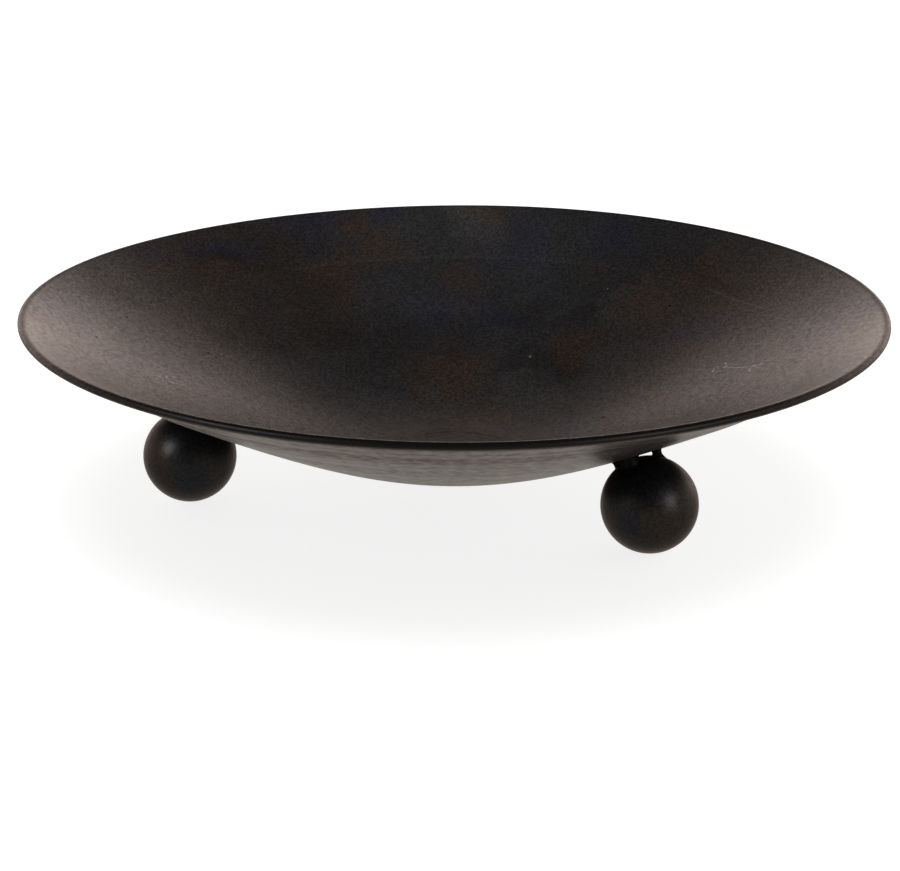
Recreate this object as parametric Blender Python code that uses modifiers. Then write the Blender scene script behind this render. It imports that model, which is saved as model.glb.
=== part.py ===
"""Shallow sheet-steel fire bowl standing on three hollow steel balls.

Units are metres and +Z is up. The origin is on the bowl's axis at floor level, so the three
balls rest on z = 0. The bowl is one spun sheet: a flat disc in the middle, a dished wall that
grows steeper outwards, a straight band inside the rim, and an edge curled outwards and under.
Each ball is two pressed half shells, and hangs on the wall's underside by three weld nuggets.
"""

import math

import bpy
from mathutils import Matrix, Vector

# Bowl
RIM_RADIUS = 0.300  # to the outside of the curled edge
SHEET = 0.002  # steel sheet thickness
FLOOR_HEIGHT = 0.0199  # underside of the flat middle above the ground
FLOOR_RADIUS = 0.0418  # flat disc in the middle
WALL_SLOPE = 0.551  # rise over run that the dished wall tends to
SLOPE_LENGTH = 0.0634  # distance in which the wall's slope builds up
BAND_RADIUS = 0.2457  # where the straight band inside the rim begins
BAND_SLOPE = 0.610
CURL_RADIUS = 0.00275  # outside radius of the curled edge
CURL_SWEEP = math.radians(265)

# Feet
FOOT_NAMES = ("rear", "left", "right")
FIRST_FOOT_ANGLE = math.radians(72.8)  # the rear foot, from +X towards +Y
FOOT_CIRCLE = 0.1885  # ball centres from the bowl's axis
BALL_RADIUS = 0.0323
BALL_WALL = 0.002

# Welds between a ball and the bowl
WELD_CIRCLE = 0.015  # nugget axes from the point where ball and bowl are nearest
WELD_WAIST = 0.0029
WELD_FLARE = 0.0016  # how much wider a nugget is where it meets the ball and the bowl
WELD_FLARE_LIMIT = 1.3  # the flare stops growing this many half lengths from the waist
WELD_REACH = 0.0035  # how far a nugget's blank runs into the ball and the bowl before the cut
WELD_NAMES = ("inner", "outer_a", "outer_b")  # one towards the bowl's axis, two away from it
FIRST_WELD_TURN = math.radians(270)  # the inner nugget, about the line from the ball to the bowl

GAP = 0.0003  # between pieces that touch
MERGE = 0.00001  # points this close on the axis of a turned solid are one
SLOPE_ROUNDS = 20  # rounds of finding where a ball comes nearest to the wall
BOWL_STEPS = 80
BALL_STEPS = 28
BALL_ARCS = 7  # facets from a ball's pole to its seam
WALL_POINTS = 11
WALL_CROWDING = 1.35  # 1 spreads the wall's points evenly, more crowds them towards the floor
BAND_POINTS = 3
CURL_POINTS = 10
WELD_STEPS = 14
WELD_POINTS = 9


def clear_scene():
    for item in list(bpy.data.objects):
        bpy.data.objects.remove(item, do_unlink=True)


def new_collection(name):
    collection = bpy.data.collections.new(name)
    bpy.context.scene.collection.children.link(collection)
    return collection


def steel(name, colour, roughness):
    material = bpy.data.materials.new(name)
    material.use_nodes = True
    shader = material.node_tree.nodes["Principled BSDF"]
    shader.inputs["Base Color"].default_value = (*colour, 1.0)
    shader.inputs["Metallic"].default_value = 0.85
    shader.inputs["Roughness"].default_value = roughness
    return material


def turned_solid(name, outline, steps, material, collection):
    """Turns (radius, height) points, given outer side downwards, into a closed solid about Z."""
    mesh = bpy.data.meshes.new(name)
    points = [(radius, 0.0, height) for radius, height in outline]
    mesh.from_pydata(points, [(i, i + 1) for i in range(len(points) - 1)], [])
    item = bpy.data.objects.new(name, mesh)
    collection.objects.link(item)
    screw = item.modifiers.new("turn", "SCREW")
    screw.axis = "Z"
    screw.steps = steps
    screw.render_steps = steps
    screw.use_merge_vertices = True
    screw.merge_threshold = MERGE
    screw.use_smooth_shade = True
    item.data.materials.append(material)
    return item


def hide_guide(item):
    item.hide_render = True
    item.display_type = "WIRE"


# The bowl


def wall_slope(radius):
    """Rise over run of the sheet at a radius."""
    if radius > BAND_RADIUS:
        return BAND_SLOPE
    return WALL_SLOPE * (1.0 - math.exp(-max(radius - FLOOR_RADIUS, 0.0) / SLOPE_LENGTH))


def wall_height(radius):
    """Height of the middle of the sheet at a radius, which is the slope summed outwards."""
    run = min(max(radius - FLOOR_RADIUS, 0.0), BAND_RADIUS - FLOOR_RADIUS)
    rise = WALL_SLOPE * (run - SLOPE_LENGTH * (1.0 - math.exp(-run / SLOPE_LENGTH)))
    rise += BAND_SLOPE * max(radius - BAND_RADIUS, 0.0)
    return FLOOR_HEIGHT + SHEET / 2 + rise


def wall_line():
    """Middle of the sheet from the axis to the curl: (radius, height, slope angle) points."""
    bend = CURL_RADIUS - SHEET / 2
    edge = RIM_RADIUS - CURL_RADIUS - bend * math.sin(math.atan(BAND_SLOPE))
    radii = [0.0]
    for i in range(WALL_POINTS):
        share = (i / WALL_POINTS) ** WALL_CROWDING
        radii.append(FLOOR_RADIUS + (BAND_RADIUS - FLOOR_RADIUS) * share)
    radii.append(BAND_RADIUS)
    radii += [BAND_RADIUS + (edge - BAND_RADIUS) * i / BAND_POINTS for i in range(1, BAND_POINTS + 1)]
    return [(radius, wall_height(radius), math.atan(wall_slope(radius))) for radius in radii]


def curl_line(start):
    """Middle of the sheet round the curl, on from the wall's last point."""
    radius, height, slope = start
    bend = CURL_RADIUS - SHEET / 2
    centre_radius = radius + bend * math.sin(slope)
    centre_height = height - bend * math.cos(slope)
    points = []
    for i in range(1, CURL_POINTS + 1):
        heading = slope - CURL_SWEEP * i / CURL_POINTS
        points.append(
            (
                centre_radius - bend * math.sin(heading),
                centre_height + bend * math.cos(heading),
                heading,
            )
        )
    return points


def offset(line, distance):
    """The line moved sideways, to the left of its direction of travel."""
    moved = []
    for radius, height, heading in line:
        side = (radius - distance * math.sin(heading), height + distance * math.cos(heading))
        moved.append((max(side[0], 0.0), side[1]))
    return moved


def build_bowl(material, collection):
    wall = wall_line()
    line = wall + curl_line(wall[-1])
    outline = offset(line, SHEET / 2) + offset(line, -SHEET / 2)[::-1]
    return turned_solid("bowl", outline, BOWL_STEPS, material, collection)


def build_bowl_cutter(material, collection):
    """The space from a gap below the bowl's underside upwards, which trims the welds."""
    line = offset(wall_line(), -SHEET / 2 - GAP)
    ceiling = line[-1][1] + SHEET
    outline = [(0.0, ceiling), (line[-1][0], ceiling)] + line[::-1]
    cutter = turned_solid("bowl_cutter", outline, BOWL_STEPS, material, collection)
    hide_guide(cutter)
    return cutter


# The feet


def foot_angle(index):
    return FIRST_FOOT_ANGLE + index * 2.0 * math.pi / len(FOOT_NAMES)


def ball_centre(angle):
    return Vector((FOOT_CIRCLE * math.cos(angle), FOOT_CIRCLE * math.sin(angle), BALL_RADIUS))


def arc(radius, side):
    """A quarter circle of (radius, height) points from the pole, stopping half a gap short of z = 0."""
    last = math.acos(GAP / 2 / radius)
    turns = [last * i / BALL_ARCS for i in range(BALL_ARCS + 1)]
    return [(radius * math.sin(turn), side * radius * math.cos(turn)) for turn in turns]


def build_shell(name, side, centre, material, collection):
    """One half of a hollow ball, the upper for side 1 and the lower for side -1."""
    outer = arc(BALL_RADIUS, side)
    inner = arc(BALL_RADIUS - BALL_WALL, side)
    outline = outer + inner[::-1] if side > 0 else inner + outer[::-1]
    shell = turned_solid(name, outline, BALL_STEPS, material, collection)
    shell.location = centre
    return shell


def build_ball_cutter(name, centre, material, collection):
    outer = arc(BALL_RADIUS + GAP, 1) + arc(BALL_RADIUS + GAP, -1)[::-1]
    cutter = turned_solid(name, outer, BALL_STEPS, material, collection)
    cutter.location = centre
    hide_guide(cutter)
    return cutter


# The welds


def contact_slope():
    """Slope angle of the wall where a ball comes nearest to it."""
    slope = 0.0
    for _ in range(SLOPE_ROUNDS):
        slope = math.atan(wall_slope(FOOT_CIRCLE - BALL_RADIUS * math.sin(slope)))
    return slope


def weld_outline(half_length):
    """A nugget about its own axis, from its top down: a waist between two flared ends."""
    end = half_length + WELD_REACH
    outline = [(0.0, end)]
    for i in range(WELD_POINTS):
        height = end * (1.0 - 2.0 * i / (WELD_POINTS - 1))
        spread = min(abs(height) / half_length, WELD_FLARE_LIMIT)
        outline.append((WELD_WAIST + WELD_FLARE * spread**2, height))
    outline.append((0.0, -end))
    return outline


def build_weld(name, angle, turn, cutters, material, collection):
    """A nugget of one foot, at a turn about the line from the ball's centre to the bowl."""
    slope = contact_slope()
    outward = Vector((math.cos(angle), math.sin(angle), 0.0))
    normal = Vector((0.0, 0.0, math.cos(slope))) - outward * math.sin(slope)
    along_wall = outward * math.cos(slope) + Vector((0.0, 0.0, math.sin(slope)))
    sideways = normal.cross(along_wall)

    # Ends of the open space that the nugget fills, measured along the normal from the ball's centre.
    ball_side = math.sqrt(BALL_RADIUS**2 - WELD_CIRCLE**2)
    nearest = FOOT_CIRCLE - BALL_RADIUS * math.sin(slope)
    contact = ball_centre(angle) + normal * BALL_RADIUS
    clearance = (wall_height(nearest) - SHEET / 2 / math.cos(slope) - contact.z) * math.cos(slope)
    bowl_side = BALL_RADIUS + clearance
    outline = weld_outline((bowl_side - ball_side) / 2)

    blank = turned_solid(name, outline, WELD_STEPS, material, collection)
    axes = Matrix((sideways, along_wall, normal)).transposed().to_4x4()
    place = along_wall * math.sin(turn) + sideways * math.cos(turn)
    middle = ball_centre(angle) + normal * (bowl_side + ball_side) / 2 + place * WELD_CIRCLE
    blank.matrix_world = Matrix.Translation(middle) @ axes
    for cutter in cutters:
        trim = blank.modifiers.new("trim_" + cutter.name, "BOOLEAN")
        trim.operation = "DIFFERENCE"
        trim.solver = "EXACT"
        trim.object = cutter
    return blank


def main():
    clear_scene()
    parts = new_collection("fire_bowl")
    guides = new_collection("cutters")
    bowl_steel = steel("patinated_steel", (0.045, 0.040, 0.037), 0.42)
    ball_steel = steel("blackened_steel", (0.022, 0.019, 0.018), 0.48)
    weld_steel = steel("weld_metal", (0.015, 0.013, 0.012), 0.6)

    build_bowl(bowl_steel, parts)
    bowl_cutter = build_bowl_cutter(bowl_steel, guides)
    for index, foot in enumerate(FOOT_NAMES):
        angle = foot_angle(index)
        centre = ball_centre(angle)
        build_shell(f"foot_{foot}_upper_shell", 1, centre, ball_steel, parts)
        build_shell(f"foot_{foot}_lower_shell", -1, centre, ball_steel, parts)
        ball_cutter = build_ball_cutter(f"ball_cutter_{foot}", centre, ball_steel, guides)
        for number, weld in enumerate(WELD_NAMES):
            turn = FIRST_WELD_TURN + number * 2.0 * math.pi / len(WELD_NAMES)
            cutters = (bowl_cutter, ball_cutter)
            build_weld(f"foot_{foot}_weld_{weld}", angle, turn, cutters, weld_steel, parts)


main()
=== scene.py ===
"""Looks for the fire bowl: fine meshes, patinated steel, a pale studio floor and soft light.

Everything is in metres in the part's own frame: +Z up, the bowl's axis at x = y = 0, floor at z = 0.
"""

import math

import bpy
import numpy as np
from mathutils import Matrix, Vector, noise


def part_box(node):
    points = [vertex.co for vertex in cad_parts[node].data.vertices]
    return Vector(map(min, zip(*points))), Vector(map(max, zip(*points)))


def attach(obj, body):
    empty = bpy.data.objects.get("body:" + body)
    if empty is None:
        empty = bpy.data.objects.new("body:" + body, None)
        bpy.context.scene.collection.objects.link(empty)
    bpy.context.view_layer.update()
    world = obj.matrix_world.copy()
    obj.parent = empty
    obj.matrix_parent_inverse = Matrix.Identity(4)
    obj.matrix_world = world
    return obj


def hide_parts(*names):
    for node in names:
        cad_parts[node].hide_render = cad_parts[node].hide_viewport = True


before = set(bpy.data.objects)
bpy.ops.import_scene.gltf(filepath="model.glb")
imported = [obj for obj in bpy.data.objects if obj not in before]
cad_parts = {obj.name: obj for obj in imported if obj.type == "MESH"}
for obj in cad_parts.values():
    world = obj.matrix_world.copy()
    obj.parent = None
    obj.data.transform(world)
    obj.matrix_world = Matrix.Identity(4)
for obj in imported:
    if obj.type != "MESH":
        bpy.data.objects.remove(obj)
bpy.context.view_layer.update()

# The sheet, as the part has it
FLOOR_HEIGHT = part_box("bowl")[0].z
RIM_RADIUS = 0.300
SHEET = 0.002
FLOOR_RADIUS = 0.0418
WALL_SLOPE = 0.551
SLOPE_LENGTH = 0.0634
BAND_RADIUS = 0.2457
BAND_SLOPE = 0.610
CURL_RADIUS = 0.00275
CURL_SWEEP = math.radians(265)

# The sheet's fine shape, which the part leaves out
CREASE = 0.003  # half width of the bend where the straight band begins
RECESS = 0.0004  # how far the spinning tool's block pressed the middle disc in
RECESS_EDGE = (0.0395, 0.0430)
WAVES = 0.00012  # unevenness of the spun wall
WAVE_SCALE = 9.0  # waves to the metre
RIPPLE = 0.000015  # rings left by the spinning tool
RIPPLE_SCALE = 80.0
SAG = -0.00054  # the rim, like any spun and curled one, is a millimetre or two out of true
TWIST = ((-0.00058, 0.00102), (0.00063, 0.00089), (-0.00033, -0.00054))  # one, two and three turns round
OVAL = (0.00080, 0.00035)
RING_STRETCHES = (  # from this radius, to this one (or the curl), this many rings of faces
    (0.0, 0.037, 8),
    (0.037, 0.046, 18),
    (0.046, 0.240, 62),
    (0.240, 0.252, 12),
    (0.252, None, 16),
)
CURL_RINGS = 26
BOWL_STEPS = 400

# Feet
FEET = ("rear", "left", "right")
BALL_RINGS = 72
BALL_STEPS = 144
DENTS = 0.00008  # unevenness of a pressed ball
DENT_SCALE = 60.0  # dents to the metre
UNDER_BOWL_SHADE_HEIGHTS = (0.038, 0.060)  # painted shade: a ball's shine dims from the first height to the second, under the bowl

# Welds
WELDS = ("inner", "outer_a", "outer_b")
FIRST_WELD = 270.0  # degrees about the line from the ball to the bowl
WELD_CIRCLE = 0.015
WELD_WAISTS = (0.0044, 0.0031, 0.0060)
BALL_FLARE = 0.0046  # how much wider a nugget is where it runs out on the ball
BOWL_FLARE = 0.0024
FLARE_POWER = 2.6  # how late a nugget begins to widen
WELD_SINK = 0.0009  # how far a nugget's ends reach into the ball and into the bowl
WELD_LUMPS = 0.0005
LUMP_SCALE = 260.0  # lumps to the metre
FINE_LUMP_SCALE = 900.0
FINE_LUMPS = 0.35  # depth of the fine lumps, as a share of the coarse ones
WELD_RINGS = 30
WELD_STEPS = 48
SLOPE_ROUNDS = 20  # rounds of finding where a ball comes nearest to the wall

# Patina, tone patches and marks on the inside of the bowl, listed: (x, y, radius)
BROWN_PATCHES = (
    (-0.227, 0.167, 0.026),
    (-0.175, 0.179, 0.030),
    (-0.099, 0.213, 0.028),
    (-0.068, 0.256, 0.026),
    (-0.003, 0.121, 0.028),
    (0.088, 0.132, 0.026),
    (0.151, 0.163, 0.034),
    (0.197, 0.171, 0.026),
)
WIDE_BROWN = ((-0.165, 0.165, 0.100), (0.200, 0.120, 0.085))
BLUE_PATCHES = (
    (-0.181, 0.207, 0.020),
    (-0.117, 0.259, 0.024),
    (-0.050, 0.280, 0.016),
    (-0.004, 0.186, 0.022),
    (0.036, 0.180, 0.020),
    (0.061, 0.253, 0.032),
    (0.125, 0.247, 0.026),
)
DARK_PATCHES = (
    (-0.147, 0.120, 0.034),
    (-0.096, 0.150, 0.034),
    (-0.042, 0.153, 0.036),
    (0.004, 0.161, 0.034),
    (0.051, 0.181, 0.030),
    (0.080, 0.109, 0.030),
    (0.002, 0.056, 0.022),
    (-0.258, 0.090, 0.030),
    (-0.180, 0.194, 0.020),
    (-0.171, 0.096, 0.020),
    (0.094, 0.170, 0.020),
    (0.054, 0.118, 0.022),
)
PALE_PATCHES = (
    (-0.041, 0.086, 0.032),
    (-0.003, 0.088, 0.032),
    (0.049, 0.082, 0.032),
    (0.144, 0.167, 0.036),
    (0.013, 0.284, 0.028),
)
DARK_SPOTS = (
    (0.165, 0.147, 0.0016),
    (-0.181, 0.068, 0.0013),
    (0.108, 0.029, 0.0014),
    (-0.252, 0.002, 0.0012),
    (-0.239, 0.064, 0.0012),
    (0.202, -0.044, 0.0010),
)
PALE_SPOTS = ((0.058, 0.134, 0.0011), (0.120, 0.190, 0.0008))
SCUFFS = (
    (-0.2085, -0.0175, 0.0040),
    (-0.1975, -0.0075, 0.0060),
    (0.1915, 0.0315, 0.0045),
    (0.2125, 0.0035, 0.0040),
    (0.256, -0.136, 0.0040),
)
SCRATCHES = (  # from, to, strength
    ((0.189, 0.159), (0.236, 0.082), 0.07),
    ((0.194, 0.029), (0.210, 0.008), 0.25),
)
SCUFF_WIDTH = 0.0010
SCRATCH_WIDTH = 0.0008
CREASE_HIGHLIGHT_WIDTH = 0.0022  # widths of the painted highlight along the bend and the painted shade along the edge of the middle disc
RECESS_SHADE_WIDTH = 0.0016
RIM_EDGE = (0.2945, 0.2970)  # radii between which the patina gives way to the plain curl, coloured with painted shade on its sides and top and painted light where it faces down
PIT_CELLS = 46.0  # cells to the metre that may hold a pit
PIT_EDGE = (0.016, 0.034)  # where a pit's side begins and ends, in cells
PIT_CHOICE = (0.80, 0.86)  # a cell drawn above the second has a whole pit, and one below the first has none

# Linear colours
BARE_STEEL = (0.046, 0.045, 0.047, 1.0)
BROWN_STEEL = (0.062, 0.045, 0.037, 1.0)
BLUE_STEEL = (0.042, 0.041, 0.059, 1.0)
# The curl's colours: painted shade on its sides and top, painted light where it faces down towards the floor
CURL_SHADED_SIDE = (0.009, 0.008, 0.008, 1.0)
CURL_FLOOR_LIT_UNDERSIDE = (0.048, 0.042, 0.039, 1.0)
PIT_BLACK = (0.006, 0.005, 0.005, 1.0)
RUBBED_STEEL = (0.40, 0.38, 0.36, 1.0)
BOWL_SHEEN = (1.0, 0.90, 0.86)
BLACK_BALL = (0.0153, 0.0153, 0.0160, 1.0)
BROWN_BALL = (0.0208, 0.0168, 0.0146, 1.0)
BLUE_BALL = (0.0138, 0.0148, 0.0196, 1.0)
BALL_SHEEN = (0.86, 0.75, 0.71)
DARK_WELD = (0.004, 0.004, 0.004, 1.0)
PALE_WELD = (0.013, 0.0115, 0.0105, 1.0)
WELD_SHEEN = (0.45, 0.42, 0.40, 1.0)

# How far the noise behind the blue patches is moved, so that they don't follow the brown ones
BLUE_SHIFT = (3.0, 1.0, 2.0)
BALL_BLUE_SHIFT = (1.0, 4.0, 2.0)

# Camera at the photograph's angle, turned by these degrees
CAMERA_PLACE = (0.0, -1.542, 0.5555)
CAMERA_TURN = (71.277, -0.047, 0.129)
CAMERA_LENS = 91.35

# Brightness of the studio behind the bowl, by elevation in degrees, as its steel reflects it
STUDIO_LEVELS = (
    (0, 2.80),
    (12, 2.70),
    (20, 2.00),
    (27, 1.08),
    (34, 0.46),
    (42, 0.184),
    (50, 0.095),
    (58, 0.107),
    (66, 0.197),
    (74, 0.370),
    (80, 0.430),
    (90, 0.365),
)
FRONT_LEVEL = 0.18  # the share of its low part that is left in front of the bowl
FRONT_CARD = 3.0  # how much brighter its high part is in front, where only the back views' walls see it
SIDE_LEAN = 0.25  # how much brighter the low part is on the right
CENTRE_DIP = 0.76  # the share of the low part's brightness that is left straight behind the bowl
STUDIO_TINT = (1.04, 1.0, 0.955)

# Floor: what the camera sees of it, and what the steel reflects
FLOOR_SIZE = 24.0
SEEN_FLOOR = (0.35, 0.35, 0.35, 1.0)
SEEN_GLOW = 0.82
REFLECTED_FLOOR = (0.26, 0.25, 0.24, 1.0)
REFLECTED_TINT = (1.06, 1.06, 0.985, 1.0)
REFLECTED_GLOW = 0.68
WHITE = (1.0, 1.0, 1.0, 1.0)

# Lights: name, place, width, watts, and whether the steel reflects it and dull things miss it, or the reverse
LIGHTS = (
    ("overhead", (0.0, 0.6, 5.0), 6.0, 240.0, False),
    ("front_left", (-1.96, -1.27, 1.14), 0.9, 36.0, True),
    ("front_right", (1.84, -1.60, 0.89), 1.0, 26.0, True),
)
LIGHT_AIM = (0.0, 0.0, 0.05)
LIGHT_COLOUR = (0.94, 0.98, 1.0)


# Meshes


def turned_points(outline, steps):
    """Rings of points about Z from (radius, height) points that start and end on the axis."""
    inner = np.array(outline[1:-1], float)
    turns = np.linspace(0.0, 2.0 * math.pi, steps, endpoint=False)
    rings = np.empty((len(inner), steps, 3))
    rings[:, :, 0] = inner[:, 0, None] * np.cos(turns)
    rings[:, :, 1] = inner[:, 0, None] * np.sin(turns)
    rings[:, :, 2] = inner[:, 1, None]
    poles = np.array([(0.0, 0.0, outline[0][1]), (0.0, 0.0, outline[-1][1])])
    return np.concatenate([rings.reshape(-1, 3), poles])


def closed_mesh(name, points, steps, material):
    """One closed smooth surface from rings of points, with a pole at either end of the list."""
    count = (len(points) - 2) // steps
    faces = []
    for ring in range(count - 1):
        near, far = ring * steps, (ring + 1) * steps
        for i in range(steps):
            j = (i + 1) % steps
            faces.append((near + i, far + i, far + j, near + j))
    top, bottom, last = count * steps, count * steps + 1, (count - 1) * steps
    for i in range(steps):
        j = (i + 1) % steps
        faces.append((top, i, j))
        faces.append((bottom, last + j, last + i))
    mesh = bpy.data.meshes.new(name)
    mesh.from_pydata([tuple(point) for point in points], [], faces)
    mesh.update()
    mesh.shade_smooth()
    mesh.materials.append(material)
    item = bpy.data.objects.new(name, mesh)
    bpy.context.scene.collection.objects.link(item)
    return item


def ease(value, low, high):
    """0 below low, 1 above high, and a smooth step between them."""
    share = min(max((value - low) / (high - low), 0.0), 1.0)
    return share * share * (3.0 - 2.0 * share)


# The bowl


def wall_slope(radius):
    """Rise over run of the sheet at a radius."""
    dished = WALL_SLOPE * (1.0 - math.exp(-max(radius - FLOOR_RADIUS, 0.0) / SLOPE_LENGTH))
    return dished + (BAND_SLOPE - dished) * ease(radius, BAND_RADIUS - CREASE, BAND_RADIUS + CREASE)


def wall_height(radius):
    """Height of the middle of the sheet at a radius, before its crease and its recess are eased."""
    run = min(max(radius - FLOOR_RADIUS, 0.0), BAND_RADIUS - FLOOR_RADIUS)
    rise = WALL_SLOPE * (run - SLOPE_LENGTH * (1.0 - math.exp(-run / SLOPE_LENGTH)))
    rise += BAND_SLOPE * max(radius - BAND_RADIUS, 0.0)
    return FLOOR_HEIGHT + SHEET / 2 + rise


def bowl_line():
    """Middle of the sheet from the axis round the curl: (radius, height, heading) points."""
    bend = CURL_RADIUS - SHEET / 2
    edge = RIM_RADIUS - CURL_RADIUS - bend * math.sin(math.atan(BAND_SLOPE))
    radii = [0.0]
    for start, end, count in RING_STRETCHES:
        radii += list(np.linspace(start, end or edge, count + 1)[1:])
    line = []
    for radius in radii:
        drop = RECESS * (1.0 - ease(radius, *RECESS_EDGE))
        ripple = RIPPLE * noise.noise(Vector((radius * RIPPLE_SCALE, 0.0, 0.0)))
        line.append((radius, wall_height(radius) - drop + ripple, math.atan(wall_slope(radius))))
    radius, height, slope = line[-1]
    for i in range(1, CURL_RINGS + 1):
        heading = slope - CURL_SWEEP * i / CURL_RINGS
        line.append(
            (
                radius + bend * (math.sin(slope) - math.sin(heading)),
                height - bend * (math.cos(slope) - math.cos(heading)),
                heading,
            )
        )
    return line


def offset(line, distance):
    """The line moved sideways, to the left of its direction of travel."""
    moved = []
    for radius, height, heading in line:
        side = (radius - distance * math.sin(heading), height + distance * math.cos(heading))
        moved.append((max(side[0], 0.0), side[1]))
    return moved


def make_bowl(material):
    line = bowl_line()
    points = turned_points(offset(line, SHEET / 2) + offset(line, -SHEET / 2)[::-1], BOWL_STEPS)
    for point in points:
        radius, turn = math.hypot(point[0], point[1]), math.atan2(point[1], point[0])
        outer = (radius / RIM_RADIUS) ** 4
        place = Vector((point[0], point[1], 0.0)) * WAVE_SCALE
        lift = SAG + sum(a * math.cos(n * turn) + b * math.sin(n * turn) for n, (a, b) in enumerate(TWIST, 1))
        stretch = OVAL[0] * math.cos(2.0 * turn) + OVAL[1] * math.sin(2.0 * turn)
        point[:2] *= 1.0 + outer * stretch / RIM_RADIUS
        point[2] += outer * lift + WAVES * noise.noise(place) * (1.0 - outer)
    bowl = closed_mesh("fire_bowl", points, BOWL_STEPS, material)
    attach(bowl, "root")
    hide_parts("bowl")


# The feet


def ball_place(foot):
    """Centre and radius of a foot's ball."""
    low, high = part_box(f"foot_{foot}_lower_shell")
    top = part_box(f"foot_{foot}_upper_shell")[1].z
    radius = (top - low.z) / 2
    return Vector(((low.x + high.x) / 2, (low.y + high.y) / 2, low.z + radius)), radius


def make_ball(foot, material):
    centre, radius = ball_place(foot)
    arc = [math.pi * i / BALL_RINGS for i in range(BALL_RINGS + 1)]
    outline = [(radius * math.sin(turn), radius * math.cos(turn)) for turn in arc]
    points = turned_points(outline, BALL_STEPS) + np.array(centre)
    for point in points:
        outward = (Vector(point) - centre).normalized()
        dent = DENTS * min(noise.noise(Vector(point) * DENT_SCALE), 0.0)
        point += np.array(outward * dent)
    ball = closed_mesh(f"{foot}_ball_foot", points, BALL_STEPS, material)
    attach(ball, "root")
    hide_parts(f"foot_{foot}_upper_shell", f"foot_{foot}_lower_shell")


def foot_axes(foot):
    """The line from a ball's centre to the nearest point of the bowl, with two directions across it."""
    centre, ball_radius = ball_place(foot)
    outward = Vector((centre.x, centre.y, 0.0))
    foot_circle = outward.length
    outward.normalize()
    slope = 0.0
    for _ in range(SLOPE_ROUNDS):
        slope = math.atan(wall_slope(foot_circle - ball_radius * math.sin(slope)))
    normal = Vector((0.0, 0.0, math.cos(slope))) - outward * math.sin(slope)
    along_wall = outward * math.cos(slope) + Vector((0.0, 0.0, math.sin(slope)))
    nearest = foot_circle - ball_radius * math.sin(slope)
    underside = wall_height(nearest) - SHEET / 2 / math.cos(slope)
    clearance = (underside - (centre + normal * ball_radius).z) * math.cos(slope)
    return centre, ball_radius, clearance, normal, along_wall, normal.cross(along_wall)


def make_weld(foot, number, material):
    """A lumpy nugget of weld metal, narrow in the middle, that runs out on the ball and the bowl."""
    centre, ball_radius, clearance, normal, along_wall, sideways = foot_axes(foot)
    turn = math.radians(FIRST_WELD + 360.0 / len(WELDS) * number)
    root = (along_wall * math.sin(turn) + sideways * math.cos(turn)) * WELD_CIRCLE
    high = ball_radius + clearance + WELD_SINK
    points = []
    for ring in range(WELD_RINGS + 1):
        share = 1.0 - ring / WELD_RINGS
        flare = BOWL_FLARE if share > 0.5 else BALL_FLARE
        reach = WELD_WAISTS[number] + flare * abs(2.0 * share - 1.0) ** FLARE_POWER
        for step in range(WELD_STEPS):
            angle = 2.0 * math.pi * step / WELD_STEPS
            side = along_wall * math.cos(angle) + sideways * math.sin(angle)
            across = root + side * reach
            low = math.sqrt(ball_radius**2 - across.length_squared) - WELD_SINK
            point = centre + across + normal * (low + (high - low) * share)
            lump = noise.noise(point * LUMP_SCALE) + FINE_LUMPS * noise.noise(point * FINE_LUMP_SCALE)
            points.append(point + side * WELD_LUMPS * lump)
    points.append(centre + root + normal * high)
    points.append(centre + root + normal * (math.sqrt(ball_radius**2 - WELD_CIRCLE**2) - WELD_SINK))
    nugget = closed_mesh(f"{foot}_weld_bead_{WELDS[number]}", points, WELD_STEPS, material)
    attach(nugget, "root")
    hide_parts(f"foot_{foot}_weld_{WELDS[number]}")


# Materials


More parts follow.
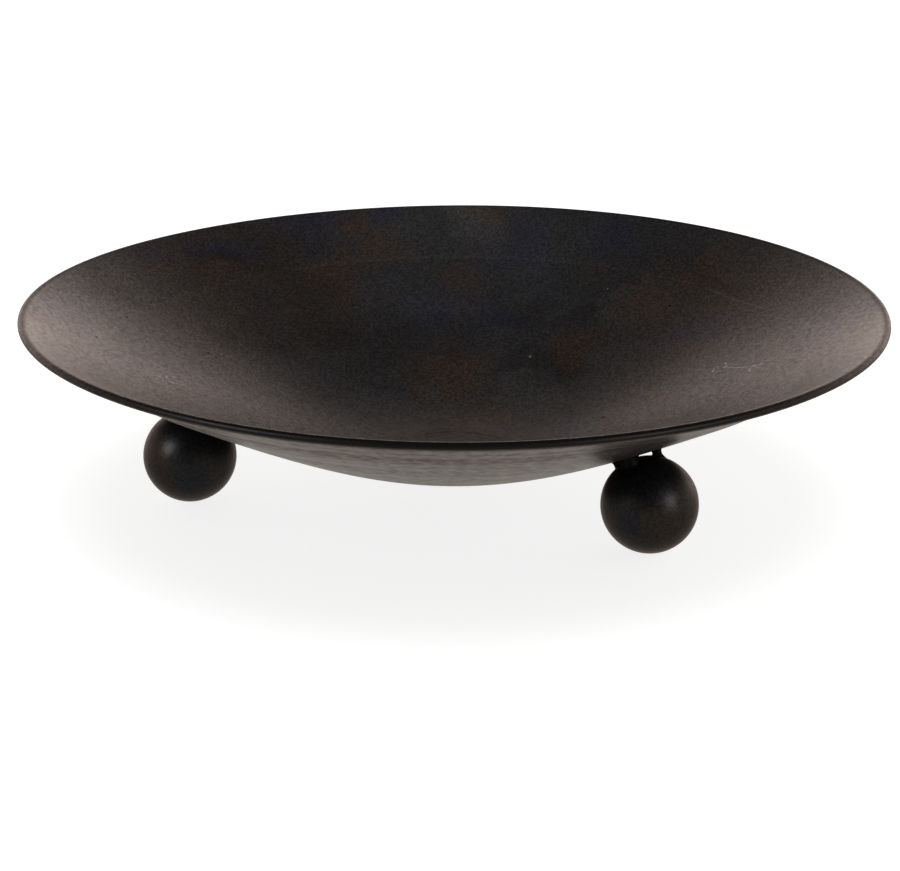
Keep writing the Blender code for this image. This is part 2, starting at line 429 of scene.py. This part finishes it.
class Tree:
    """A short way to add and link the nodes of one material or world."""

    def __init__(self, owner):
        owner.use_nodes = True
        self.nodes = owner.node_tree.nodes
        self.links = owner.node_tree.links

    def add(self, kind, inputs=None, **settings):
        """A new node: inputs by name or number, and the node's own settings."""
        node = self.nodes.new(kind)
        for key, value in settings.items():
            setattr(node, key, value)
        for key, value in (inputs or {}).items():
            self.feed(node.inputs[key], value)
        return node

    def feed(self, socket, value):
        """Links another socket to this one, or sets its number or colour."""
        if isinstance(value, bpy.types.NodeSocket):
            self.links.new(value, socket)
        else:
            socket.default_value = value

    def noise(self, vector, scale, detail=2.0, roughness=0.5):
        """Noise from 0 to 1, with scale bumps to the metre."""
        settings = {"Vector": vector, "Scale": scale, "Detail": detail, "Roughness": roughness}
        return self.add("ShaderNodeTexNoise", settings).outputs["Fac"]

    def span(self, value, low, high, to_low=0.0, to_high=1.0):
        """The value eased from low to high onto another range, and held at its ends."""
        settings = {
            "Value": value,
            "From Min": low,
            "From Max": high,
            "To Min": to_low,
            "To Max": to_high,
        }
        return self.add("ShaderNodeMapRange", settings, interpolation_type="SMOOTHSTEP").outputs["Result"]

    def mix(self, factor, a, b):
        """Colour a where the factor is 0, and b where it is 1."""
        node = self.add("ShaderNodeMix", data_type="RGBA")
        for key, value in ((0, factor), (6, a), (7, b)):
            self.feed(node.inputs[key], value)
        return node.outputs[2]

    def math(self, operation, a, b=0.0):
        return self.add("ShaderNodeMath", {0: a, 1: b}, operation=operation).outputs[0]

    def weigh(self, value, share):
        return self.math("MULTIPLY", value, share)

    def vector(self, operation, a, b=(0.0, 0.0, 0.0)):
        node = self.add("ShaderNodeVectorMath", {0: a, 1: b}, operation=operation)
        return node.outputs["Value" if operation in ("DISTANCE", "DOT_PRODUCT", "LENGTH") else "Vector"]

    def scale(self, vector, factor):
        node = self.add("ShaderNodeVectorMath", {0: vector, "Scale": factor}, operation="SCALE")
        return node.outputs["Vector"]

    def bend(self, flat, place, scale, amount):
        """Flat coordinates pushed about by a noise, so that drawn shapes have ragged edges."""
        settings = {"Vector": place, "Scale": scale, "Detail": 5.0, "Roughness": 0.6}
        push = self.add("ShaderNodeTexNoise", settings).outputs["Color"]
        push = self.vector("SUBTRACT", push, (0.5, 0.5, 0.5))
        return self.vector("ADD", flat, self.vector("MULTIPLY", push, (amount, amount, 0.0)))

    def streaks(self, place, flat, scale, drift):
        """Rings round the axis that fade in and out as they go round it."""
        parts = self.add("ShaderNodeSeparateXYZ", {0: place}).outputs
        turned = {
            0: self.weigh(self.vector("LENGTH", flat), scale),
            1: self.weigh(parts["X"], drift),
            2: self.weigh(parts["Y"], drift),
        }
        return self.noise(self.add("ShaderNodeCombineXYZ", turned).outputs[0], 1.0, 3.0, 0.65)

    def spots(self, flat, places, inner, outer):
        """Round spots of 1 on 0, whose edges fade from inner to outer times their radius."""
        total = 0.0
        for x, y, radius in places:
            gap = self.vector("DISTANCE", flat, (x, y, 0.0))
            spot = self.span(gap, radius * inner, radius * outer, 1.0, 0.0)
            total = self.math("MAXIMUM", spot, total)
        return total

    def rings(self, flat, places, width):
        """Thin circles of 1 on 0."""
        total = 0.0
        for x, y, radius in places:
            gap = self.vector("DISTANCE", flat, (x, y, 0.0))
            off = self.math("ABSOLUTE", self.math("SUBTRACT", gap, radius))
            total = self.math("MAXIMUM", self.span(off, width * 0.3, width, 1.0, 0.0), total)
        return total

    def line(self, flat, start, end, width):
        """A thin straight line of 1 on 0, which fades at its ends."""
        run = Vector((end[0] - start[0], end[1] - start[1], 0.0))
        length = run.length
        run.normalize()
        offset_in = self.vector("SUBTRACT", flat, (*start, 0.0))
        along = self.vector("DOT_PRODUCT", offset_in, tuple(run))
        aside = self.math("ABSOLUTE", self.vector("DOT_PRODUCT", offset_in, (-run.y, run.x, 0.0)))
        far = self.math("ABSOLUTE", self.math("SUBTRACT", along, length / 2))
        thin = self.span(aside, width * 0.4, width, 1.0, 0.0)
        return self.math("MULTIPLY", thin, self.span(far, length * 0.3, length * 0.5, 1.0, 0.0))


def start_metal(name, metallic, specular):
    """A new material, its nodes and its shader."""
    material = bpy.data.materials.new(name)
    tree = Tree(material)
    shader = tree.nodes["Principled BSDF"]
    shader.inputs["Metallic"].default_value = metallic
    shader.inputs["Specular IOR Level"].default_value = specular
    return material, tree, shader


def heat_patches(tree, place, flat):
    """Colour of the brown and blue patches, and how dark or pale the wide clouds over them are."""
    ragged = tree.bend(flat, place, 20.0, 0.10)
    loose_brown = tree.span(tree.noise(place, 15.0, 4.0, 0.6), 0.54, 0.72)
    loose_blue = tree.span(tree.noise(tree.vector("ADD", place, BLUE_SHIFT), 13.0, 4.0, 0.6), 0.54, 0.70)
    brown = tree.math("MAXIMUM", tree.spots(ragged, BROWN_PATCHES, 0.2, 1.3), tree.weigh(loose_brown, 0.7))
    brown = tree.math("MAXIMUM", brown, tree.weigh(tree.spots(ragged, WIDE_BROWN, 0.2, 1.3), 0.55))
    blue = tree.math("MAXIMUM", tree.spots(ragged, BLUE_PATCHES, 0.2, 1.3), tree.weigh(loose_blue, 0.6))
    colour = tree.mix(blue, tree.mix(brown, BARE_STEEL, BROWN_STEEL), BLUE_STEEL)
    cloud = tree.span(tree.noise(place, 10.0, 3.0, 0.6), 0.35, 0.65, 0.90, 1.10)
    # Listed patches where the tone is paler or darker
    paler_tone = tree.span(tree.spots(ragged, PALE_PATCHES, 0.2, 1.4), 0.0, 1.0, 1.0, 1.30)
    darker_tone = tree.span(tree.spots(ragged, DARK_PATCHES, 0.2, 1.4), 0.0, 1.0, 1.0, 0.74)
    return colour, tree.math("MULTIPLY", tree.math("MULTIPLY", cloud, paler_tone), darker_tone)


def streaks_and_edge_light(tree, flat, streak, under):
    """Two factors of the shade: the spinning tool's streaks, and a painted highlight along the crease with
    painted shade along the middle disc's edge.
    """
    depth = tree.span(under, 0.0, 1.0, 0.06, 0.30)
    streaked = tree.math("ADD", 1.0, tree.math("MULTIPLY", tree.math("SUBTRACT", streak, 0.5), depth))
    # Painted highlight along the crease, and painted shade along the edge of the middle disc
    crease = tree.rings(flat, ((0.0, 0.0, BAND_RADIUS),), CREASE_HIGHLIGHT_WIDTH)
    recess = tree.rings(flat, ((0.0, 0.0, sum(RECESS_EDGE) / 2),), RECESS_SHADE_WIDTH)
    turned = tree.math("SUBTRACT", tree.weigh(crease, 0.15), tree.weigh(recess, 0.40))
    return streaked, tree.math("ADD", 1.0, turned)


def bowl_glint(tree, place, mottle, bands, under):
    """How the same marks break up the shine where the sheet is seen at a flat angle."""
    glint = tree.span(tree.noise(place, 290.0, 2.0, 0.65), 0.34, 0.66, 0.76, 1.0)
    glint = tree.math("MULTIPLY", glint, tree.span(mottle, 0.32, 0.68, 0.88, 1.0))
    band_glint = tree.span(bands, 0.36, 0.64, 0.56, 1.0)
    band_glint = tree.math("MULTIPLY", band_glint, tree.span(mottle, 0.32, 0.68, 0.86, 1.0))
    return tree.math("ADD", glint, tree.math("MULTIPLY", under, tree.math("SUBTRACT", band_glint, glint)))


def dark_marks(tree, flat):
    """Pits scattered over the sheet, and the listed dark spots."""
    settings = {"Vector": flat, "Scale": PIT_CELLS}
    cells = tree.add("ShaderNodeTexVoronoi", settings, voronoi_dimensions="2D").outputs
    drawn = tree.add("ShaderNodeSeparateColor", {0: cells["Color"]}).outputs[0]
    hole = tree.span(cells["Distance"], *PIT_EDGE, 1.0, 0.0)
    pits = tree.math("MULTIPLY", hole, tree.span(drawn, *PIT_CHOICE))
    return tree.math("MAXIMUM", pits, tree.spots(flat, DARK_SPOTS, 0.5, 1.1))


def pale_marks(tree, place, flat):
    """Pale spots, broken scuffs and two straight scratches."""
    broken = tree.span(tree.noise(place, 330.0, 2.0), 0.45, 0.60)
    scuffs = tree.rings(tree.bend(flat, place, 130.0, 0.012), SCUFFS, SCUFF_WIDTH)
    scuffs = tree.math("MULTIPLY", scuffs, broken)
    pale = tree.math("MAXIMUM", tree.spots(flat, PALE_SPOTS, 0.5, 1.1), tree.weigh(scuffs, 0.55))
    for start, end, strength in SCRATCHES:
        scratch = tree.line(flat, start, end, SCRATCH_WIDTH)
        pale = tree.math("MAXIMUM", pale, tree.weigh(scratch, strength))
    return pale


def bowl_steel():
    """Heat-browned and blued sheet with a mottled grain, spun streaks, pits and a few scuffs, and painted
    shade and light on its curl, crease and middle disc's edge.
    """
    material, tree, shader = start_metal("patinated_steel", 0.92, 0.5)
    place = tree.add("ShaderNodeTexCoord").outputs["Object"]
    flat = tree.vector("MULTIPLY", place, (1.0, 1.0, 0.0))
    normal = tree.add("ShaderNodeNewGeometry").outputs["Normal"]
    facing = tree.add("ShaderNodeSeparateXYZ", {0: normal}).outputs["Z"]
    under = tree.span(facing, -0.2, 0.2, 1.0, 0.0)
    inside = tree.math("SUBTRACT", 1.0, under)
    rim = tree.span(tree.vector("LENGTH", flat), *RIM_EDGE)

    # Mottled grain, finer than a patch, with a plain curl round it, coloured with painted shade on its sides
    # and top and painted light where it faces down
    colour, cloud = heat_patches(tree, place, flat)
    mottle = tree.noise(place, 520.0, 2.0, 0.6)
    grain = tree.noise(place, 1500.0, 1.0, 0.5)
    speck = tree.span(mottle, 0.32, 0.68, 0.62, 1.38)
    speck = tree.math("MULTIPLY", speck, tree.span(grain, 0.3, 0.7, 0.9, 1.1))
    shade = tree.math("MULTIPLY", speck, cloud)
    shade = tree.math("ADD", shade, tree.math("MULTIPLY", rim, tree.math("SUBTRACT", 1.0, shade)))
    # Painted shade and painted light on the curl, chosen by which way its surface faces
    curl = tree.mix(tree.span(facing, -0.50, -0.22, 1.0, 0.0), CURL_SHADED_SIDE, CURL_FLOOR_LIT_UNDERSIDE)
    colour = tree.mix(rim, colour, curl)

    # Streaks left by the spinning tool, plainest on the underside, with a painted highlight along the crease
    # and painted shade at the middle disc's edge
    streak = tree.streaks(place, flat, 520.0, 5.0)
    ring = tree.streaks(place, flat, 90.0, 2.0)
    dash = tree.streaks(place, flat, 150.0, 140.0)
    bands = tree.math("ADD", tree.weigh(ring, 0.45), tree.weigh(dash, 0.55))
    for factor in streaks_and_edge_light(tree, flat, streak, under):
        shade = tree.math("MULTIPLY", shade, factor)
    glint = bowl_glint(tree, place, mottle, bands, under)
    tree.feed(shader.inputs["Specular Tint"], tree.scale(BOWL_SHEEN, glint))

    # Marks, whose colour shows on the inside only
    dark = dark_marks(tree, flat)
    pale = pale_marks(tree, place, flat)
    colour = tree.scale(colour, shade)
    colour = tree.mix(tree.math("MULTIPLY", dark, inside), colour, PIT_BLACK)
    colour = tree.mix(tree.math("MULTIPLY", pale, inside), colour, RUBBED_STEEL)
    tree.feed(shader.inputs["Base Color"], colour)

    # Roughness and relief
    rough = tree.math("ADD", tree.span(mottle, 0.3, 0.7, 0.30, 0.38), tree.weigh(dark, 0.3))
    rough = tree.math("ADD", rough, tree.weigh(rim, 0.08))
    tree.feed(shader.inputs["Roughness"], rough)
    height = tree.math("ADD", mottle, tree.weigh(grain, 0.3))
    height = tree.math("SUBTRACT", height, tree.weigh(dark, 1.5))
    height = tree.math("ADD", height, tree.math("MULTIPLY", streak, tree.span(under, 0.0, 1.0, 0.1, 0.5)))
    height = tree.math("ADD", height, tree.math("MULTIPLY", bands, tree.span(under, 0.0, 1.0, 0.3, 8.0)))
    bump = tree.add("ShaderNodeBump", {"Height": height, "Strength": 0.22, "Distance": 0.0003})
    tree.feed(shader.inputs["Normal"], bump.outputs[0])
    return material


def ball_steel():
    """Blackened steel, browner than the sheet, with a blue cast in places, and painted shade that dims its
    shine at the top, under the bowl.
    """
    material, tree, shader = start_metal("blackened_steel", 0.7, 0.08)
    place = tree.add("ShaderNodeTexCoord").outputs["Object"]
    brown = tree.span(tree.noise(place, 38.0, 4.0, 0.6), 0.44, 0.62)
    blue = tree.span(tree.noise(tree.vector("ADD", place, BALL_BLUE_SHIFT), 34.0, 3.0, 0.6), 0.54, 0.70)
    warp = tree.span(tree.noise(place, 45.0, 3.0, 0.6), 0.3, 0.7, -0.006, 0.006)
    # Painted shade: the shine dims towards the top of the ball, where it sits under the bowl
    height = tree.add("ShaderNodeSeparateXYZ", {0: place}).outputs["Z"]
    low = tree.span(tree.math("ADD", height, warp), *UNDER_BOWL_SHADE_HEIGHTS, 1.0, 0.0)
    mottle = tree.noise(place, 620.0, 2.0, 0.6)
    speck = tree.span(mottle, 0.3, 0.7, 0.70, 1.30)
    colour = tree.mix(blue, tree.mix(brown, BLACK_BALL, BROWN_BALL), BLUE_BALL)
    tree.feed(shader.inputs["Base Color"], tree.scale(colour, speck))
    glint = tree.math("MULTIPLY", tree.span(speck, 0.7, 1.3, 0.80, 1.0), tree.span(low, 0.0, 1.0, 0.65, 1.0))
    tree.feed(shader.inputs["Specular Tint"], tree.scale(BALL_SHEEN, glint))
    tree.feed(shader.inputs["Roughness"], tree.span(mottle, 0.3, 0.7, 0.33, 0.43))
    bump = tree.add("ShaderNodeBump", {"Height": mottle, "Strength": 0.2, "Distance": 0.0003})
    tree.feed(shader.inputs["Normal"], bump.outputs[0])
    return material


def weld_steel():
    """Scaly dark weld metal."""
    material, tree, shader = start_metal("weld_metal", 1.0, 0.5)
    shader.inputs["Specular Tint"].default_value = WELD_SHEEN
    place = tree.add("ShaderNodeTexCoord").outputs["Object"]
    scale = tree.noise(place, 700.0, 3.0, 0.7)
    tree.feed(shader.inputs["Base Color"], tree.mix(tree.span(scale, 0.4, 0.7), DARK_WELD, PALE_WELD))
    tree.feed(shader.inputs["Roughness"], tree.span(scale, 0.3, 0.7, 0.42, 0.65))
    bump = tree.add("ShaderNodeBump", {"Height": scale, "Strength": 0.5, "Distance": 0.0005})
    tree.feed(shader.inputs["Normal"], bump.outputs[0])
    return material


# Stage


def make_floor():
    """White to the camera, and a little darker where the steel reflects it."""
    bpy.ops.mesh.primitive_plane_add(size=FLOOR_SIZE, location=(0.0, 0.0, 0.0))
    floor = bpy.context.object
    floor.name = "studio_floor"
    material = bpy.data.materials.new("pale_floor")
    tree = Tree(material)
    shader = tree.nodes["Principled BSDF"]
    seen = tree.add("ShaderNodeLightPath").outputs["Is Camera Ray"]
    tree.feed(shader.inputs["Base Color"], tree.mix(seen, REFLECTED_FLOOR, SEEN_FLOOR))
    tree.feed(shader.inputs["Emission Strength"], tree.span(seen, 0.0, 1.0, REFLECTED_GLOW, SEEN_GLOW))
    tree.feed(shader.inputs["Emission Color"], tree.mix(seen, REFLECTED_TINT, WHITE))
    shader.inputs["Roughness"].default_value = 0.9
    shader.inputs["Specular IOR Level"].default_value = 0.1
    floor.data.materials.append(material)


def make_world():
    """A studio: a bright sweep low down behind the bowl, dark halfway up, a little brighter overhead.

    Z is the sine of a direction's elevation, and X and Y are to the right and away from the camera.
    """
    world = bpy.data.worlds.new("studio")
    bpy.context.scene.world = world
    tree = Tree(world)
    background = tree.nodes["Background"]
    direction = tree.add("ShaderNodeTexCoord").outputs["Generated"]
    parts = tree.add("ShaderNodeSeparateXYZ", {0: direction}).outputs
    peak = max(level for _, level in STUDIO_LEVELS)
    ramp = tree.add("ShaderNodeValToRGB", {0: parts["Z"]})
    stops = ramp.color_ramp.elements
    stops.remove(stops[1])
    for number, (elevation, level) in enumerate(STUDIO_LEVELS):
        stop = stops[0] if number == 0 else stops.new(math.sin(math.radians(elevation)))
        stop.position = math.sin(math.radians(elevation))
        stop.color = (level / peak, level / peak, level / peak, 1.0)

    # The low part dims in front, and the high part brightens there
    front = tree.span(parts["Z"], 0.45, 0.85, FRONT_LEVEL, 1.0)
    around = tree.span(parts["Y"], -0.5, 0.7, front, 1.0)
    card = tree.span(parts["Y"], -0.50, -0.10, FRONT_CARD, 1.0)
    around = tree.math("MULTIPLY", around, tree.span(parts["Z"], 0.42, 0.60, 1.0, card))

    # The low part leans to the right and dips straight behind the bowl
    lean = tree.span(parts["Z"], 0.45, 0.75, SIDE_LEAN, 0.0)
    side = tree.math("ADD", 1.0, tree.math("MULTIPLY", parts["X"], lean))
    level = tree.math("MULTIPLY", tree.math("MULTIPLY", around, side), peak)
    gap = tree.span(tree.math("ABSOLUTE", parts["X"]), 0.05, 0.35, CENTRE_DIP, 1.0)
    gap = tree.span(parts["Z"], 0.45, 0.60, gap, 1.0)
    studio = tree.scale(ramp.outputs[0], tree.math("MULTIPLY", level, gap))
    tinted = tree.vector("MULTIPLY", studio, STUDIO_TINT)
    seen = tree.add("ShaderNodeLightPath").outputs["Is Camera Ray"]
    tree.feed(background.inputs["Color"], tree.mix(seen, tinted, WHITE))


def area_light(name, place, width, power, glossy):
    data = bpy.data.lights.new(name, "AREA")
    data.shape = "DISK"
    data.size = width
    data.energy = power
    data.color = LIGHT_COLOUR
    light = bpy.data.objects.new(name, data)
    bpy.context.scene.collection.objects.link(light)
    light.location = place
    aim = Vector(LIGHT_AIM) - Vector(place)
    light.rotation_euler = aim.to_track_quat("-Z", "Y").to_euler()
    light.visible_glossy = glossy
    light.visible_diffuse = not glossy
    light.visible_camera = False


def make_camera():
    data = bpy.data.cameras.new("camera")
    data.lens = CAMERA_LENS
    camera = bpy.data.objects.new("camera", data)
    bpy.context.scene.collection.objects.link(camera)
    camera.location = CAMERA_PLACE
    camera.rotation_euler = [math.radians(angle) for angle in CAMERA_TURN]
    bpy.context.scene.camera = camera


def main():
    make_camera()
    make_bowl(bowl_steel())
    ball_metal, weld_metal = ball_steel(), weld_steel()
    for foot in FEET:
        make_ball(foot, ball_metal)
        for number in range(len(WELDS)):
            make_weld(foot, number, weld_metal)
    make_floor()
    make_world()
    for light in LIGHTS:
        area_light(*light)
    bpy.context.scene.view_settings.view_transform = "Standard"


main()
